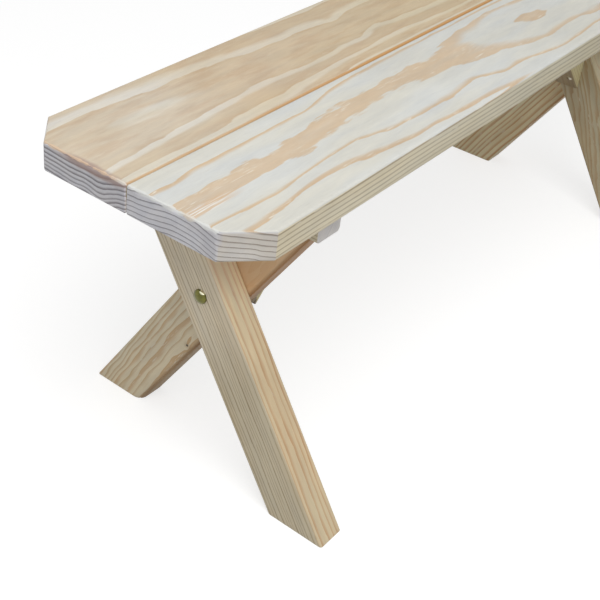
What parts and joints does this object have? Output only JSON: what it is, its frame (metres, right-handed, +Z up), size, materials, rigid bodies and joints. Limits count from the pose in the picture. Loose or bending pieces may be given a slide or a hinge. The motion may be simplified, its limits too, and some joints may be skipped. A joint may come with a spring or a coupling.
{
  "type": "crossed-leg bench",
  "caption": "Low pine bench: a seat of two clipped-corner boards on cleats, crossed legs bolted together at each end, and a sloping brace from each crossing to the seat.",
  "frame": {"origin": "on the floor, under the middle of the seat", "axes": "+X along the bench, -Y is the front and +Z is up; the end that the picture shows nearest is -X"},
  "size_m": [1.194, 0.388, 0.432],
  "materials": {
    "seat_pine": "bare planed pine, unfinished, satin",
    "leg_pine": "bare planed pine, unfinished, satin",
    "cleat_pine": "bare planed pine, unfinished, satin",
    "brace_pine": "bare planed pine, unfinished, satin",
    "bolt_plating": "steel with yellow zinc plating, glossy",
    "screw_plating": "steel with bright zinc plating"
  },
  "bodies": {
    "root": {"seat_board_front": "seat_pine", "seat_board_back": "seat_pine", "leg_outer_left": "leg_pine", "leg_outer_right": "leg_pine", "leg_inner_left": "leg_pine", "leg_inner_right": "leg_pine", "cleat_left": "cleat_pine", "cleat_right": "cleat_pine", "brace_left": "brace_pine", "brace_right": "brace_pine", "carriage_bolt_left": "bolt_plating", "carriage_bolt_right": "bolt_plating", "washer_left": "bolt_plating", "washer_right": "bolt_plating", "nut_left": "bolt_plating", "nut_right": "bolt_plating", "cleat_screws_left": "screw_plating", "cleat_screws_right": "screw_plating", "leg_screws_left": "screw_plating", "leg_screws_right": "screw_plating", "brace_screws_left": "screw_plating", "brace_screws_right": "screw_plating"}
  },
  "joints": []
}
